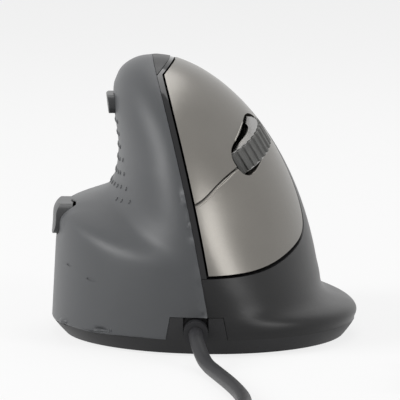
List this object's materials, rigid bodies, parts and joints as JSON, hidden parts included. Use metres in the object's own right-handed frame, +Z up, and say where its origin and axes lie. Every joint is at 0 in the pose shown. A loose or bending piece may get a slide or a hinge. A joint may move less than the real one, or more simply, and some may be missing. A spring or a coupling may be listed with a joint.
{
  "type": "vertical ergonomic mouse",
  "caption": "Left-handed vertical computer mouse, held like a handshake: thumb shelf, two finger buttons, ribbed scroll wheel that spins and clicks, thumb buttons, coiled cord with plug.",
  "frame": {"origin": "middle of the mouse's footprint, on the desk under its glide feet", "axes": "+Z up from the desk, -Y the front where the cord leaves, -X the thumb side, +X the side the fingers lie on"},
  "size_m": [0.1113, 0.2779, 0.075],
  "materials": {
    "soft_touch_grey": "satin",
    "button_metal_grey": "satin",
    "thumb_button_grey": "satin",
    "shell_black": "satin",
    "strip_black": "gloss",
    "base_black": "matt",
    "wheel_rubber": "matt",
    "wheel_metal": "bright",
    "inner_black": "matt",
    "plunger_white": "matt",
    "board_green": "satin",
    "screw_steel": "satin",
    "lens_clear": "clear",
    "foot_slip": "satin",
    "cord_sheath": "satin",
    "plug_metal": "satin",
    "plug_tongue_black": "matt"
  },
  "bodies": {
    "root": {"base": "base_black", "thumb_shell": "soft_touch_grey", "finger_shell": "shell_black", "button_frame": "strip_black", "carrier_bracket": "inner_black", "wheel_click_switch": "inner_black", "upper_switch": "inner_black", "lower_switch": "inner_black", "upper_thumb_switch": "inner_black", "lower_thumb_switch": "inner_black", "upright_board": "board_green", "frame_screws": "screw_steel", "upper_thumb_board": "board_green", "lower_thumb_board": "board_green", "main_board": "board_green", "controller_chip": "inner_black", "sensor_chip": "inner_black", "sensor_lens": "lens_clear", "cord_header": "plunger_white", "link_sockets": "plunger_white", "board_link": "cord_sheath", "base_screws": "screw_steel", "board_screws": "screw_steel", "glide_feet": "foot_slip", "cord_grommet": "cord_sheath", "cord_core": "cord_sheath", "cord_lead": "cord_sheath", "cord_coil": "cord_sheath", "cord_tail": "cord_sheath", "plug_overmould": "cord_sheath", "plug_shell": "plug_metal", "plug_tongue": "plug_tongue_black"},
    "upper_button": {"upper_button": "button_metal_grey"},
    "lower_button": {"lower_button": "button_metal_grey"},
    "carrier": {"wheel_carrier": "inner_black", "wheel_encoder": "inner_black"},
    "wheel": {"scroll_tyre": "wheel_rubber", "scroll_hub": "wheel_metal"},
    "upper_thumb_button": {"upper_thumb_button": "thumb_button_grey"},
    "lower_thumb_button": {"lower_thumb_button": "thumb_button_grey"},
    "upper_plunger": {"upper_plunger": "plunger_white"},
    "lower_plunger": {"lower_plunger": "plunger_white"},
    "click_plunger": {"wheel_click_plunger": "plunger_white"},
    "upper_thumb_plunger": {"upper_thumb_plunger": "plunger_white"},
    "lower_thumb_plunger": {"lower_thumb_plunger": "plunger_white"}
  },
  "joints": [
    {"name": "upper_button_press", "type": "hinge", "parent": "root", "child": "upper_button", "pos_m": [0.00987, 0.00042, 0.05873], "axis": [0.4747, 0.2798, -0.8345], "range_deg": [0, 0.6], "stiffness_Nm_per_rad": 1.9, "springref_deg": -0.23},
    {"name": "upper_plunger_travel", "type": "slide", "parent": "root", "child": "upper_plunger", "axis": [-0.868, 0.3056, -0.3913], "range_m": [0, 0.0009]},
    {"name": "lower_button_press", "type": "hinge", "parent": "root", "child": "lower_button", "pos_m": [0.01391, -0.0087, 0.05797], "axis": [0.4747, 0.2798, -0.8345], "range_deg": [0, 0.6], "stiffness_Nm_per_rad": 1.9, "springref_deg": -0.23},
    {"name": "lower_plunger_travel", "type": "slide", "parent": "root", "child": "lower_plunger", "axis": [-0.868, 0.3056, -0.3913], "range_m": [0, 0.0009]},
    {"name": "wheel_click", "type": "hinge", "parent": "root", "child": "carrier", "pos_m": [0.00606, -0.00449, 0.05491], "axis": [0.4747, 0.2798, -0.8345], "range_deg": [0, 1.4], "stiffness_Nm_per_rad": 0.6, "springref_deg": -1.15},
    {"name": "wheel_click_plunger_travel", "type": "slide", "parent": "root", "child": "click_plunger", "axis": [-0.868, 0.3056, -0.3913], "range_m": [0, 0.0009]},
    {"name": "scroll_wheel_spin", "type": "hinge", "parent": "carrier", "child": "wheel", "pos_m": [0.0058, -0.0193, 0.0498], "axis": [-0.4747, -0.2798, 0.8345], "continuous": true},
    {"name": "upper_thumb_press", "type": "slide", "parent": "root", "child": "upper_thumb_button", "axis": [1, 0, 0], "range_m": [0, 0.0007], "stiffness_N_per_m": 800, "springref_m": -0.0003},
    {"name": "upper_thumb_plunger_travel", "type": "slide", "parent": "root", "child": "upper_thumb_plunger", "axis": [1, 0, 0], "range_m": [0, 0.0009]},
    {"name": "lower_thumb_press", "type": "slide", "parent": "root", "child": "lower_thumb_button", "axis": [1, 0, 0], "range_m": [0, 0.0007], "stiffness_N_per_m": 800, "springref_m": -0.0003},
    {"name": "lower_thumb_plunger_travel", "type": "slide", "parent": "root", "child": "lower_thumb_plunger", "axis": [1, 0, 0], "range_m": [0, 0.0009]}
  ],
  "couplings": [
    {"joint": "upper_plunger_travel", "follows": "upper_button_press", "m_per_rad": 0.012496},
    {"joint": "lower_plunger_travel", "follows": "lower_button_press", "m_per_rad": 0.023},
    {"joint": "wheel_click_plunger_travel", "follows": "wheel_click", "m_per_rad": 0.0304},
    {"joint": "upper_thumb_plunger_travel", "follows": "upper_thumb_press", "ratio": 1},
    {"joint": "lower_thumb_plunger_travel", "follows": "lower_thumb_press", "ratio": 1}
  ]
}
